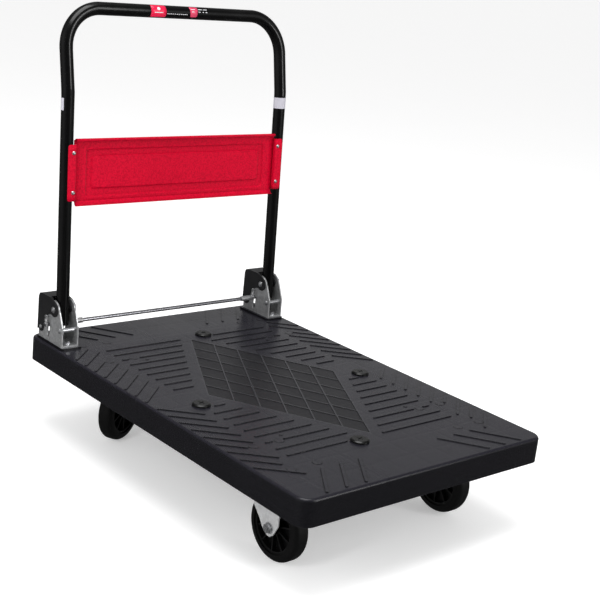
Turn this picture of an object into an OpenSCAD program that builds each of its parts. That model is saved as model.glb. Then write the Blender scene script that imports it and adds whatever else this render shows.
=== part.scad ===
// Folding platform cart: moulded deck on four casters, push handle that folds
// forward over the deck, and a sprung release rod that the foot presses down.
// X runs across the width, Y along the length (handle end is +Y), Z up from the floor.

/* [Deck] */
// Length of the deck along Y
deck_l = 900; // [860:5:1100]
// Width of the deck along X
deck_w = 600; // [520:5:720]
// Height of the deck moulding from skirt edge to top face
deck_h = 50; // [46:1:70]
// Corner radius of the deck in plan
deck_corner_r = 26; // [12:1:40]
// Radius of the rounded top edge
deck_edge_r = 6; // [3:0.5:8]
// Thickness of the top skin
skin_t = 5; // [4:0.5:8]
// Thickness of the skirt wall
skirt_t = 6; // [4:0.5:10]
// Thickness of the stiffening ribs under the deck
rib_t = 3; // [2:0.5:5]
// Largest spacing of the stiffening ribs
rib_pitch = 62; // [45:1:80]
// Height of the raised seat under each hinge bracket
seat_h = 4; // [2:0.5:8]

/* [Deck pattern] */
// Height of the raised anti-slip bars
bar_h = 1.6; // [1:0.2:4]
// Width of the anti-slip bars
bar_w = 5; // [3:0.5:8]
// Spacing of the rows of bars along the deck
row_pitch = 30.2; // [26:0.2:36]
// Number of rows on each side of the middle
row_count = 9; // [4:1:9]
// Half length of the lozenge in the middle, along Y
lozenge_half_l = 285; // [240:5:290]
// Half width of the lozenge, along X
lozenge_half_w = 162; // [120:2:170]
// Number of cells along each side of the lozenge
lozenge_cells = 6; // [3:1:8]
// Width of the lands between the cells
land_w = 3; // [2:0.5:6]
// Depth of the cells
cell_depth = 0.8; // [0.4:0.1:1.5]
// Diameter of the round plugs in the deck
plug_d = 36; // [28:1:44]
// Height of the plug heads over the deck
plug_h = 5; // [3:0.5:8]

/* [Casters] */
// Wheel diameter
wheel_d = 130; // [110:5:140]
// Tread width
wheel_w = 34; // [26:1:36]
// Radial thickness of the tyre
tyre_t = 15; // [8:1:20]
// Height of a caster from the floor to the top of its plate
caster_h = 158; // [158:1:190]
// Distance of the caster plates from the middle along X
caster_x = 207; // [170:1:210]
// Distance of the rigid casters' plates in front of the middle
rigid_y = 287; // [240:1:320]
// Distance of the swivel casters' axes behind the middle
swivel_y = 269; // [240:1:300]
// Offset of the swivel casters' axles from their swivel axes
trail = 44; // [36:1:46]
// Offset of the rigid casters' axles towards the front
rigid_offset = 5; // [0:1:20]
// Turn of the swivel casters at rest, from straight inwards towards the back
swivel_turn = 27; // [-45:1:45]
// Sheet thickness of the caster forks
fork_t = 3; // [2.5:0.5:4]
// Axle bolt diameter
axle_d = 10; // [8:1:12]

/* [Handle] */
// Outer diameter of the handle tube
tube_d = 26.4; // [24:0.1:28]
// Wall of the handle tube
tube_wall = 1.6; // [1.2:0.1:2.5]
// Half of the distance between the two posts
post_x = 271; // [230:1:272]
// Backward lean of the lower part of the posts
lean = 3; // [0:0.5:6]
// Backward bend of the upper part against the lower part
top_bend = 7.6; // [0:0.2:12]
// Height of the bend over the hinge pivot
bend_z = 440; // [400:5:560]
// Height of the grip bar over the bend
grip_rise = 162; // [140:2:220]
// Centre-line radius of the top corners
corner_r = 80; // [60:5:120]
// Length of the tube below the pivot
tail_l = 33; // [26:1:33]

/* [Back panel] */
// Height of the lower edge of the panel over the pivot, along the post
panel_base = 214; // [180:2:260]
// Height of the panel
panel_h = 136; // [100:2:170]
// Depth of the panel's turned-in edges
panel_lip = 9; // [6:0.5:12]
// Sheet thickness of the panel
panel_t = 1.4; // [1:0.1:2]

/* [Hinge] */
// Distance of the pivot behind the deck's middle
pivot_y = 368; // [340:1:380]
// Height of the pivot over the deck top
pivot_h = 76; // [70:1:90]
// Pivot pin diameter
pivot_d = 8; // [6:0.5:10]
// Free width inside a hinge bracket
bracket_gap = 33; // [31:0.5:40]
// Sheet thickness of the hinge brackets
bracket_t = 3; // [2:0.5:4]
// Wall of the plastic bracket covers
cover_t = 2.2; // [1.5:0.1:2.5]
// Release rod diameter
rod_d = 8; // [6:0.5:8]
// Travel of the release rod
rod_travel = 22; // [16:1:22]
// Distance of the release rod behind the pivot
rod_back = 19; // [18:0.5:24]
// Distance of the release rod below the pivot at rest
rod_drop = 37; // [36:0.5:40]
// Outer diameter of the return springs
spring_d = 6.6; // [5:0.2:6.6]
// Wire diameter of the return springs
spring_wire = 1; // [0.8:0.1:1.4]

/* [Hidden] */
$fn = 64;

// Clearances
run_fit = 0.1;      // radial, shaft in a hole that turns or slides
seat_fit = 0.05;    // radial, fixed fastener in its hole
gap = 0.4;          // between bodies that pass each other

// Deck levels, from the floor up
well_depth = 10;                        // caster seats above the skirt edge
skirt_z = caster_h - well_depth;
top_z = skirt_z + deck_h;
seat_z = top_z + seat_h;
under_z = top_z - skin_t;
axle_z = wheel_d / 2;

// Hinge places
pivot_z = top_z + pivot_h;
rod_y = pivot_y + rod_back;
rod_z = pivot_z - rod_drop;
slot_w = rod_d + 1.6;
bracket_front = pivot_y - 36;
bracket_rear = pivot_y + 58;
gap_half = bracket_gap / 2;
plate_out = gap_half + bracket_t;       // outer face of a bracket plate from the post
cover_out = plate_out + cover_t;
spacer_pin_y = pivot_y - 24.5;
spacer_pin_z = pivot_z - 38.5;
spacer_pin_d = 10;
rivet_y = bracket_rear - 10;
rivet_z = top_z + 26;
anchor_d = 4;
anchor_z = pivot_z - 18.5;
spring_mid = cover_out + spring_d / 2 + gap;
bracket_bolt_d = 8;
bracket_bolt_ys = [bracket_front + 13, bracket_rear - 15];

// Casters
plate_l = 125;
plate_w = 84;
plate_t = 3;
bolt_dx = 29;
bolt_dy = 51.5;
caster_bolt_d = 8;
crown_top = caster_h - plate_t - 7;     // top face of the swivel fork's crown
crown_t = 4;
crown_r = 30;
ball_r = 3;
ball_ring_r = 21;
ball_count = 16;
kingpin_d = 12;
side_play = 3;
leg_in = wheel_w / 2 + side_play;       // inner face of a fork leg from the wheel's middle
leg_out = leg_in + fork_t;
hub_r = 15;
hub_w = 2 * leg_in - 2;
sleeve_d = axle_d + 4;
rim_r = wheel_d / 2 - tyre_t;
web_t = 5;
spoke_count = 10;
shoulder_r = 11;

// Fasteners: across flats, head height for each thread
function hex_flats(d) = d * 1.65;
function hex_height(d) = d * 0.6;
washer_t = 1.6;

black = [0.05, 0.05, 0.055];
deck_grey = [0.16, 0.16, 0.175];
zinc = [0.78, 0.8, 0.82];
dark_zinc = [0.55, 0.56, 0.58];
panel_red = [0.72, 0.02, 0.06];

// ---------- shared shapes ----------

module hex_prism(d, h) {
    cylinder(d = hex_flats(d) / cos(30), h = h, $fn = 6);
}

// Outline of a rectangle with round corners
module round_rect(w, l, r) {
    square([w - 2 * r, l], center = true);
    square([w, l - 2 * r], center = true);
    for (x = [-1, 1], y = [-1, 1])
        translate([x * (w / 2 - r), y * (l / 2 - r)]) circle(r = r);
}

// Plate with round corners and a rounded top edge
module pillow_plate(w, l, h, r, edge) {
    linear_extrude(height = h - edge) round_rect(w, l, r);
    translate([0, 0, h - edge]) {
        linear_extrude(height = edge) round_rect(w - 2 * edge, l - 2 * edge, r - edge);
        for (s = [-1, 1]) {
            translate([s * (w / 2 - edge), 0, 0]) rotate([90, 0, 0])
                cylinder(r = edge, h = l - 2 * r, center = true);
            translate([0, s * (l / 2 - edge), 0]) rotate([0, 90, 0])
                cylinder(r = edge, h = w - 2 * r, center = true);
        }
        for (x = [-1, 1], y = [-1, 1])
            translate([x * (w / 2 - r), y * (l / 2 - r), 0])
                rotate_extrude() translate([r - edge, 0]) circle(r = edge);
    }
}

// A low bar with round ends between two points
module slip_bar(a, b) {
    v = b - a;
    translate([a[0], a[1], -1]) rotate([0, 0, atan2(v[1], v[0])]) {
        linear_extrude(height = bar_h + 1) {
            translate([0, -bar_w / 2]) square([norm(v), bar_w]);
            circle(d = bar_w);
            translate([norm(v), 0]) circle(d = bar_w);
        }
    }
}

module both_sides() {
    children();
    mirror([1, 0, 0]) children();
}

module four_corners(x, y) {
    for (sx = [-1, 1], sy = [-1, 1]) translate([sx * x, sy * y, 0]) children();
}

module at_casters() {
    for (sx = [-1, 1], y = [-rigid_y, swivel_y]) translate([sx * caster_x, y, 0]) children();
}

// Cylinder along X from x0 to x1
module rod_x(x0, x1, d) {
    translate([x0, 0, 0]) rotate([0, 90, 0]) cylinder(d = d, h = x1 - x0);
}

// ---------- deck ----------

row_first = 51;
row_outer = 205;
row_gap = 29;       // gap between a row's inner end and the lozenge
side_pitch = 36;    // spacing of the slanted side bars
mark_d = 18;        // faint round marks over the caster bosses
mark_clear = mark_d / 2 + bar_w + 1;
function lozenge_edge(y) = lozenge_half_w * (1 - abs(y) / lozenge_half_l);

plug_places = [[-205, -37], [205, -35], [45, 301], [-45, -303]];
plug_clear = plug_d / 2 + bar_w;

// A row of bars, cut short where a plug or a round mark stands in its way
module row_bars(sx, y) {
    inner = max(lozenge_edge(y) + row_gap, 22);
    near = [for (p = plug_places) if (abs(p[1] - y) < plug_clear && p[0] * sx > 0) abs(p[0])];
    x0 = len(near) > 0 && near[0] < row_outer / 2 ? near[0] + plug_clear : inner;
    x1 = len(near) > 0 && near[0] > row_outer / 2 ? near[0] - plug_clear : row_outer;
    mark_x = caster_x - bolt_dx;
    if (abs(abs(y) - rigid_y + bolt_dy) < mark_clear) {
        if (mark_x - mark_clear - x0 > bar_w) slip_bar([sx * x0, y], [sx * (mark_x - mark_clear), y]);
        if (x1 - mark_x - mark_clear > bar_w) slip_bar([sx * (mark_x + mark_clear), y], [sx * x1, y]);
    } else if (x1 - x0 > bar_w) slip_bar([sx * x0, y], [sx * x1, y]);
}

module deck_bars() {
    for (sx = [-1, 1], sy = [-1, 1]) {
        for (i = [0 : row_count - 1]) row_bars(sx, sy * (row_first + i * row_pitch));
        // slanted bars along the sides; the hinge brackets leave room for eight at the back
        for (i = [0 : sy > 0 ? 7 : 8]) {
            y = 19 + i * side_pitch;
            reach = i == 5 ? 40 : i == 7 ? 50 : 63;     // two stop short of the round marks
            slip_bar([sx * (deck_w / 2 - 10), sy * y],
                [sx * (deck_w / 2 - 10 - reach), sy * (y + 0.9 * reach)]);
        }
        // slanted bars by the corners
        for (i = [0 : 2])
            slip_bar([sx * (100 + i * 44), sy * (deck_l / 2 - 88)],
                [sx * (154 + i * 44), sy * (deck_l / 2 - 13)]);
    }
}

// Cells of the lozenge, as diamonds between the lands
module lozenge_cuts() {
    n = lozenge_cells;
    cell_w = lozenge_half_w / n;
    cell_l = lozenge_half_l / n;
    inset = land_w / 2 * norm([cell_w, cell_l]);
    for (i = [0 : n - 1], j = [0 : n - 1])
        translate([(i - j) * cell_w, (i + j + 1 - n) * cell_l, 0])
            linear_extrude(height = cell_depth + 1)
                polygon([[cell_w - inset / cell_l, 0], [0, cell_l - inset / cell_w],
                    [-cell_w + inset / cell_l, 0], [0, -cell_l + inset / cell_w]]);
}

module deck_ribs() {
    nx = ceil(deck_w / rib_pitch);
    ny = ceil(deck_l / rib_pitch);
    for (i = [1 : nx - 1])
        translate([-deck_w / 2 + i * deck_w / nx - rib_t / 2, -deck_l / 2 + skirt_t / 2, skirt_z + 2])
            cube([rib_t, deck_l - skirt_t, under_z - skirt_z - 1]);
    for (j = [1 : ny - 1])
        translate([-deck_w / 2 + skirt_t / 2, -deck_l / 2 + j * deck_l / ny - rib_t / 2, skirt_z + 2])
            cube([deck_w - skirt_t, rib_t, under_z - skirt_z - 1]);
}

seat_front = bracket_front - 6;
seat_rear = bracket_rear + 6;
seat_in = post_x - plate_out - 6;

module deck() color(deck_grey) difference() {
    union() {
        difference() {
            translate([0, 0, skirt_z])
                pillow_plate(deck_w, deck_l, deck_h, deck_corner_r, deck_edge_r);
            translate([0, 0, skirt_z - 1]) linear_extrude(height = under_z - skirt_z + 1)
                round_rect(deck_w - 2 * skirt_t, deck_l - 2 * skirt_t, deck_corner_r - skirt_t);
        }
        deck_ribs();
        // walls and bolt bosses that the caster plates sit on
        at_casters() translate([0, 0, skirt_z + 2]) {
            linear_extrude(height = under_z - skirt_z - 1) difference() {
                round_rect(plate_w + 26, plate_l + 26, 13);
                round_rect(plate_w - 2, plate_l - 2, 6);
            }
            four_corners(bolt_dx, bolt_dy) cylinder(d = 22, h = under_z - skirt_z - 1);
        }
        // raised seats under the hinge brackets
        both_sides() translate([(seat_in + deck_w / 2 - 8) / 2, (seat_front + seat_rear) / 2, top_z - 1])
            linear_extrude(height = seat_h + 1)
                round_rect(deck_w / 2 - 8 - seat_in, seat_rear - seat_front, 5);
        translate([0, 0, top_z]) deck_bars();
        // faint round marks over the caster bosses, and four small pips
        four_corners(caster_x, rigid_y) four_corners(bolt_dx, bolt_dy)
            translate([0, 0, top_z - 1]) cylinder(d = mark_d, h = 1.5);
        four_corners(158, 216) translate([0, 0, top_z - 1]) cylinder(d = 7, h = 2);
        // bosses for the plugs and for the hinge bolts
        for (p = plug_places) translate([p[0], p[1], under_z - 12]) cylinder(d = 30, h = 13);
        both_sides() for (y = bracket_bolt_ys)
            translate([post_x, y, under_z - 28]) cylinder(d = 20, h = 29);
    }
    // wells round the caster plates
    at_casters() translate([0, 0, skirt_z - 1])
        linear_extrude(height = well_depth + 1) round_rect(plate_w + 20, plate_l + 20, 10);
    translate([0, 0, top_z - cell_depth]) lozenge_cuts();
    // holes for the caster bolts, hinge bolts and plugs
    at_casters() four_corners(bolt_dx, bolt_dy)
        translate([0, 0, caster_h - 1]) cylinder(d = caster_bolt_d + 2 * seat_fit, h = 22);
    both_sides() for (y = bracket_bolt_ys)
        translate([post_x, y, seat_z - 29]) cylinder(d = bracket_bolt_d + 2 * seat_fit, h = 30);
    for (p = plug_places) translate([p[0], p[1], under_z - 13]) cylinder(d = 20, h = skin_t + 14);
}

module deck_plugs() color(black) for (p = plug_places) translate([p[0], p[1], top_z]) difference() {
    union() {
        cylinder(d = plug_d, h = plug_h - 2);
        translate([0, 0, plug_h - 2]) cylinder(d1 = plug_d, d2 = plug_d - 6, h = 2);
        translate([0, 0, -14]) cylinder(d = 20 - 2 * seat_fit, h = 15);
    }
    for (a = [0, 90]) rotate([0, 0, a + 20]) translate([-7, -1.25, plug_h - 2]) cube([14, 2.5, 3]);
}

module caster_bolts() color(zinc) at_casters() four_corners(bolt_dx, bolt_dy) {
    translate([0, 0, caster_h - plate_t]) cylinder(d = caster_bolt_d, h = plate_t + 18);
    translate([0, 0, caster_h - plate_t - washer_t]) cylinder(d = caster_bolt_d * 2, h = washer_t);
    translate([0, 0, caster_h - plate_t - washer_t - hex_height(caster_bolt_d)])
        hex_prism(caster_bolt_d, hex_height(caster_bolt_d));
}

// ---------- hinge brackets ----------

// Side plate outline: first axis along Y, second up from the floor
module bracket_outline() {
    polygon([[bracket_front, seat_z], [bracket_rear, seat_z], [bracket_rear, pivot_z + 8],
        [pivot_y + 40, pivot_z + 16], [pivot_y + 6, pivot_z + 18.2], [pivot_y - 12, pivot_z + 15],
        [pivot_y - 22, pivot_z], [bracket_front + 1, pivot_z - 30]]);
    translate([pivot_y, pivot_z]) circle(r = 19.2);
}

// Stand a YZ outline up as a plate from x to x + t
module plate_yz(x, t) {
    translate([x, 0, 0]) rotate([90, 0, 90]) linear_extrude(height = t) children();
}

module bracket_holes() {
    for (h = [[pivot_y, pivot_z, pivot_d], [spacer_pin_y, spacer_pin_z, spacer_pin_d - 3],
            [rivet_y, rivet_z, 4], [rod_y, anchor_z, anchor_d]])
        translate([-plate_out - 5, h[0], h[1]]) rod_x(0, 2 * plate_out + 10, h[2] + 2 * seat_fit);
    // slots for the release rod
    translate([-plate_out - 5, rod_y, 0]) {
        for (z = [rod_z, rod_z - rod_travel])
            translate([0, 0, z]) rod_x(0, 2 * plate_out + 10, slot_w);
        translate([0, -slot_w / 2, rod_z - rod_travel]) cube([2 * plate_out + 10, slot_w, rod_travel]);
    }
}

module hinge_bracket() color(zinc) translate([post_x, 0, 0]) difference() {
    union() {
        for (x = [-plate_out, gap_half]) plate_yz(x, bracket_t) bracket_outline();
        translate([-plate_out, bracket_front, seat_z])
            cube([2 * plate_out, bracket_rear - bracket_front, bracket_t]);
    }
    bracket_holes();
    for (y = bracket_bolt_ys) translate([0, y, seat_z - 1])
        cylinder(d = bracket_bolt_d + 2 * seat_fit, h = bracket_t + 2);
}
module hinge_bracket_right() hinge_bracket();
module hinge_bracket_left() mirror([1, 0, 0]) hinge_bracket();

cover_top = pivot_z + 23;
cover_rear = bracket_rear + cover_t + gap;
// Outline of a cover's side, with its round lobes over the rivet and the pivot
module cover_outline() {
    polygon([[rivet_y, rivet_z - 4], [cover_rear, rivet_z - 7], [cover_rear, cover_top - 10],
        [cover_rear - 4, cover_top - 2], [cover_rear - 10, cover_top], [pivot_y + 17, cover_top],
        [pivot_y - 2, cover_top - 4], [pivot_y - 14, cover_top - 12], [pivot_y - 17.5, pivot_z],
        [pivot_y - 6, pivot_z - 11], [pivot_y + 16, pivot_z - 13], [pivot_y + 32, pivot_z - 24],
        [pivot_y + 35, rivet_z + 8]]);
    translate([pivot_y - 3, pivot_z]) circle(r = 14.5);
    translate([rivet_y - 1, rivet_z]) circle(r = 9.5);
}

module bracket_cover() color(black) translate([post_x, 0, 0]) difference() {
    plate_yz(-cover_out, 2 * cover_out) cover_outline();
    // room for the bracket plates and the handle tube
    translate([-plate_out - 0.05, bracket_front - 20, top_z])
        cube([2 * plate_out + 0.1, bracket_rear + gap - bracket_front + 20, cover_top - cover_t - top_z]);
    translate([-gap_half, bracket_front - 20, cover_top - 20])
        cube([bracket_gap, pivot_y + 19.5 - bracket_front + 20, 30]);
    translate([-cover_out - 1, rivet_y, rivet_z]) rod_x(0, 2 * cover_out + 2, 4 + 2 * seat_fit);
    translate([-cover_out - 1, pivot_y, pivot_z]) rod_x(0, 2 * cover_out + 2, pivot_d + 2 * seat_fit);
    // notch over the springs' anchors
    translate([-cover_out - 1, rod_y, anchor_z]) {
        rod_x(0, 2 * cover_out + 2, spring_d + 1.4);
        translate([0, -spring_d / 2 - 0.7, -30]) cube([2 * cover_out + 2, spring_d + 1.4, 30]);
    }
}
module bracket_cover_right() bracket_cover();
module bracket_cover_left() mirror([1, 0, 0]) bracket_cover();

module dome_head(x, dir, d, h) {
    translate([x, 0, 0]) rotate([0, dir * 90, 0]) intersection() {
        translate([0, 0, h - (d * d / 4 + h * h) / (2 * h)]) sphere(r = (d * d / 4 + h * h) / (2 * h));
        cylinder(d = d, h = h);
    }
}

module cover_rivets() color(zinc) both_sides() for (s = [-1, 1])
    translate([post_x, rivet_y, rivet_z]) {
        rod_x(min(s * gap_half, s * cover_out), max(s * gap_half, s * cover_out), 4);
        dome_head(s * cover_out, s, 9, 2.2);
        dome_head(s * gap_half, -s, 7, 1.5);
    }

module bracket_bolts() color(zinc) both_sides() for (y = bracket_bolt_ys)
    translate([post_x, y, 0]) {
        translate([0, 0, seat_z - 28]) cylinder(d = bracket_bolt_d, h = 28 + bracket_t);
        translate([0, 0, seat_z + bracket_t]) cylinder(d = bracket_bolt_d * 2, h = washer_t);
        translate([0, 0, seat_z + bracket_t + washer_t])
            hex_prism(bracket_bolt_d, hex_height(bracket_bolt_d));
    }

// Spacer pins hold the plates of each bracket apart
module spacer_pins() color(zinc) both_sides() translate([post_x, spacer_pin_y, spacer_pin_z]) {
    rod_x(-gap_half, gap_half, spacer_pin_d);
    rod_x(-plate_out, plate_out, spacer_pin_d - 3);
    for (s = [-1, 1]) dome_head(s * plate_out, s, 12, 3);
}

module pivot_pins() color(zinc) both_sides() translate([post_x, pivot_y, pivot_z]) {
    rod_x(-cover_out, cover_out, pivot_d);
    for (s = [-1, 1]) dome_head(s * cover_out, s, 13, 3.4);
}

module spring_anchors() color(zinc) both_sides() for (s = [-1, 1])
    translate([post_x, rod_y, anchor_z]) {
        rod_x(min(s * (gap_half - 1), s * (spring_mid + 1.6)),
            max(s * (gap_half - 1), s * (spring_mid + 1.6)), anchor_d);
        dome_head(s * (gap_half - 1), -s, 7, 1.2);
        translate([s * (spring_mid + 2.1), 0, 0]) rod_x(-0.5, 0.5, anchor_d + 2);
    }

// ---------- release rod ----------

rod_half = post_x + spring_mid + 3;
clip_t = 1.2;
sleeve_len = 28;

module release_rod() color(zinc) translate([0, rod_y, rod_z]) rod_x(-rod_half, rod_half, rod_d);

module rod_sleeves() color(dark_zinc) both_sides()
    translate([post_x - spring_mid - 6 - sleeve_len, rod_y, rod_z]) difference() {
        rod_x(0, sleeve_len, rod_d + 3.6);
        rod_x(-1, sleeve_len + 1, rod_d + 2 * seat_fit);
    }

// Spring clips that keep the rod and the springs in their places
module rod_clips() color(dark_zinc) both_sides() for (x = [post_x - spring_mid - 3.4, rod_half - 2.2])
    translate([x, rod_y, rod_z]) difference() {
        rod_x(0, clip_t, rod_d + 3);
        rod_x(-1, clip_t + 1, rod_d + 2 * seat_fit);
    }

// End loops are wider than their pins by this much, and bear on the pin's far side
loop_slack = 0.8;
function loop_r(d) = d / 2 + spring_wire / 2 + run_fit + loop_slack;
module spring_loop(d) {
    rotate([0, 90, 0]) rotate_extrude() translate([loop_r(d), 0]) circle(d = spring_wire);
}
// Extension springs from the anchors down to the rod: coil envelope and end loops
module return_springs() color(zinc) both_sides() for (s = [-1, 1])
    translate([post_x + s * spring_mid, rod_y, 0]) {
        z0 = rod_z + loop_r(rod_d) + loop_slack;
        z1 = anchor_z - loop_r(anchor_d) - loop_slack;
        translate([0, 0, z0]) difference() {
            cylinder(d = spring_d, h = z1 - z0);
            translate([0, 0, -1]) cylinder(d = spring_d - 2 * spring_wire, h = z1 - z0 + 2);
        }
        translate([0, 0, rod_z + loop_slack]) spring_loop(rod_d);
        translate([0, 0, anchor_z - loop_slack]) spring_loop(anchor_d);
    }

// ---------- handle ----------

bend_r = 90;
bend_trim = bend_r * tan(top_bend / 2);
lower_len = bend_z / cos(lean);
upper_len = grip_rise / cos(lean + top_bend);

// Frame of the lower posts: origin at the pivot, Z along the post
module lower_frame() {
    translate([0, pivot_y, pivot_z]) rotate([-lean, 0, 0]) children();
}
// Frame of the upper posts: origin at the bend, Z along the post
module upper_frame() {
    lower_frame() translate([0, 0, lower_len]) rotate([-top_bend, 0, 0]) children();
}

lap = 0.5;          // straight runs reach this far into the bends
swell = 0.1;        // bends are this much thicker, so the runs end cleanly inside them

module handle_solid(r, extra) {
    lower_frame() for (s = [-1, 1]) translate([s * post_x, 0, 0]) {
        translate([0, 0, -tail_l - extra])
            cylinder(r = r, h = tail_l + extra + lower_len - bend_trim + lap);
        translate([0, bend_r, lower_len - bend_trim]) rotate([90, 0, -90])
            rotate_extrude(angle = top_bend) translate([bend_r, 0]) circle(r = r + swell);
    }
    upper_frame() {
        for (s = [-1, 1]) translate([s * post_x, 0, bend_trim - lap])
            cylinder(r = r, h = upper_len - corner_r - bend_trim + 2 * lap);
        for (s = [0, 1]) mirror([s, 0, 0])
            translate([post_x - corner_r, 0, upper_len - corner_r]) rotate([90, 0, 0])
                rotate_extrude(angle = 90) translate([corner_r, 0]) circle(r = r + swell);
        translate([0, 0, upper_len])
            rod_x(-post_x + corner_r - lap, post_x - corner_r + lap, 2 * r);
    }
}

screw_x = post_x - 8.5;
screw_heights = [panel_base + 28, panel_base + panel_h - 28];
bush_d = pivot_d + 4;

module handle_tube() color(black) difference() {
    handle_solid(tube_d / 2, 0);
    handle_solid(tube_d / 2 - tube_wall, 1);
    lower_frame() {
        for (s = [-1, 1]) translate([s * post_x - tube_d, 0, 0])
            rod_x(0, 2 * tube_d, bush_d + 2 * seat_fit);
        for (s = [-1, 1], h = screw_heights) translate([s * screw_x, 0, h]) rotate([90, 0, 0])
            cylinder(d = 4 + 2 * seat_fit, h = tube_d);
    }
}

// Flanged bushes that centre each post between its bracket plates
module pivot_bushes() color([0.75, 0.74, 0.7]) lower_frame()
    both_sides() for (s = [-1, 1]) translate([post_x, 0, 0]) difference() {
        union() {
            rod_x(min(s * (tube_d / 2 - 4), s * (gap_half - gap)),
                max(s * (tube_d / 2 - 4), s * (gap_half - gap)), bush_d);
            rod_x(min(s * (tube_d / 2), s * (gap_half - gap)),
                max(s * (tube_d / 2), s * (gap_half - gap)), bush_d + 8);
        }
        translate([-2 * gap_half, 0, 0]) rod_x(0, 4 * gap_half, pivot_d + 2 * run_fit);
    }

panel_face = -4;                        // middle sheet, along Y in the post's frame
panel_front = panel_face - panel_lip;
ear_front = -tube_d / 2 - panel_t;
panel_half = post_x - tube_d / 2 - gap;
ear_reach = 4;
ear_inset = 11;

module panel_sheet(w, h, r) {
    rotate([90, 0, 0]) linear_extrude(height = panel_t) round_rect(w, h, r);
}
module frame_bead(w, h, size) {
    difference() {
        rotate([90, 0, 0]) linear_extrude(height = size) round_rect(w, h, 7);
        translate([0, 1, 0]) rotate([90, 0, 0]) linear_extrude(height = size + 2)
            round_rect(w - 2 * size, h - 2 * size, 7 - size);
    }
}

module back_panel() color(panel_red) lower_frame() translate([0, 0, panel_base + panel_h / 2]) difference() {
    union() {
        translate([0, panel_face, 0]) {
            panel_sheet(2 * panel_half, panel_h, 3);
            // two pressed frames on the face
            frame_bead(2 * panel_half - 52, panel_h - 40, 2.4 + panel_t);
            frame_bead(2 * panel_half - 78, panel_h - 70, 2.4 + panel_t);
        }
        // turned edges on all four sides
        for (s = [-1, 1]) {
            translate([-panel_half + 3, panel_front, s > 0 ? panel_h / 2 - panel_t : -panel_h / 2])
                cube([2 * panel_half - 6, panel_lip, panel_t]);
            translate([s > 0 ? panel_half - panel_t : -panel_half, ear_front, -panel_h / 2 + ear_inset])
                cube([panel_t, panel_face - ear_front, panel_h - 2 * ear_inset]);
        }
        // ears that lap over the fronts of the posts
        for (s = [-1, 1])
            translate([s * (post_x + ear_reach + panel_half - panel_t) / 2, ear_front + panel_t, 0])
                panel_sheet(post_x + ear_reach - panel_half + panel_t, panel_h - 2 * ear_inset, 4);
    }
    for (s = [-1, 1], h = screw_heights)
        translate([s * screw_x, 0, h - panel_base - panel_h / 2]) rotate([90, 0, 0])
            cylinder(d = 4 + 2 * seat_fit, h = tube_d);
}

module panel_screws() color(zinc) lower_frame() for (s = [-1, 1], h = screw_heights)
    translate([s * screw_x, ear_front, h]) difference() {
        union() {
            rotate([-90, 0, 0]) cylinder(d = 4, h = 12);
            rotate([0, 0, -90]) dome_head(0, 1, 8.5, 2.8);
        }
        for (a = [0, 90]) rotate([0, a, 0]) translate([-2, -3.5, -0.5]) cube([4, 1.7, 1]);
    }

label_t = 0.3;
// Printed band round the grip bar
module grip_label() color(panel_red) upper_frame() translate([-77, 0, upper_len]) difference() {
    rod_x(0, 143, tube_d + 2 * label_t);
    rod_x(-1, 144, tube_d);
}

tape_w = 24;
tape_base = bend_z - 34;
// Pale bands near the tops of the lower posts: a full turn and a half turn
module post_tapes() color([0.85, 0.86, 0.87]) lower_frame() {
    translate([post_x, 0, tape_base]) difference() {
        cylinder(d = tube_d + 2 * label_t, h = tape_w);
        translate([0, 0, -1]) cylinder(d = tube_d, h = tape_w + 2);
    }
    translate([-post_x, 0, tape_base]) difference() {
        cylinder(d = tube_d + 2 * label_t, h = tape_w);
        translate([0, 0, -1]) cylinder(d = tube_d, h = tape_w + 2);
        rotate([0, 0, -66]) translate([0, -tube_d, -1]) cube([2 * tube_d, 2 * tube_d, tape_w + 2]);
    }
}

// ---------- casters ----------

// Outline of a fork leg: first axis along the trail, second up from the floor.
// a is the axle's place on the first axis, top the height of the leg's top edge, and end the
// place where that edge ends, away from the axle.
module leg_outline(a, top, end) {
    polygon([[a - 20, axle_z - 4], [a - 12, axle_z - 12], [a - 3, axle_z - 16], [a + 3, axle_z - 16],
        [a + 11, axle_z - 10], [a + 22, axle_z + 11], [a + 22, top], [end, top],
        [end, top - 8], [a - 47, axle_z + 27], [a - 28, axle_z + 7]]);
}

module caster_plate() {
    difference() {
        translate([0, 0, caster_h - plate_t]) linear_extrude(height = plate_t)
            round_rect(plate_w, plate_l, 6);
        four_corners(bolt_dx, bolt_dy) translate([0, 0, caster_h - plate_t - 1])
            cylinder(d = caster_bolt_d + 2 * seat_fit, h = plate_t + 2);
    }
}

// Two legs across the wheel, in a frame whose X axis is the trail
module fork_legs(a, top, end) {
    difference() {
        for (y = [-leg_out, leg_in]) translate([0, y + fork_t, 0]) rotate([90, 0, 0])
            linear_extrude(height = fork_t) leg_outline(a, top, end);
        translate([a, -leg_out - 1, axle_z]) rotate([-90, 0, 0])
            cylinder(d = axle_d + 2 * seat_fit, h = 2 * leg_out + 2);
    }
}

module rigid_frame() color(zinc) translate([caster_x, -rigid_y, 0]) {
    caster_plate();
    // the legs end short of the plate's bolts
    rotate([0, 0, -90]) fork_legs(rigid_offset, caster_h - plate_t + 1, caster_bolt_d + 1 - bolt_dy);
}
module rigid_frame_right() rigid_frame();
module rigid_frame_left() mirror([1, 0, 0]) rigid_frame();

race_groove = ball_r + seat_fit;
module race_ring(r) {
    rotate_extrude() translate([ball_ring_r, 0]) circle(r = r);
}
ball_z = crown_top + 1;

module swivel_plates() color(zinc) both_sides() translate([caster_x, swivel_y, 0]) difference() {
    union() {
        caster_plate();
        translate([0, 0, crown_top + 2]) cylinder(r = 27, h = caster_h - plate_t - crown_top - 1);
    }
    translate([0, 0, crown_top + 1]) cylinder(d = kingpin_d + 2 * seat_fit, h = 12);
    translate([0, 0, ball_z]) race_ring(ball_r + gap);
}

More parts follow.
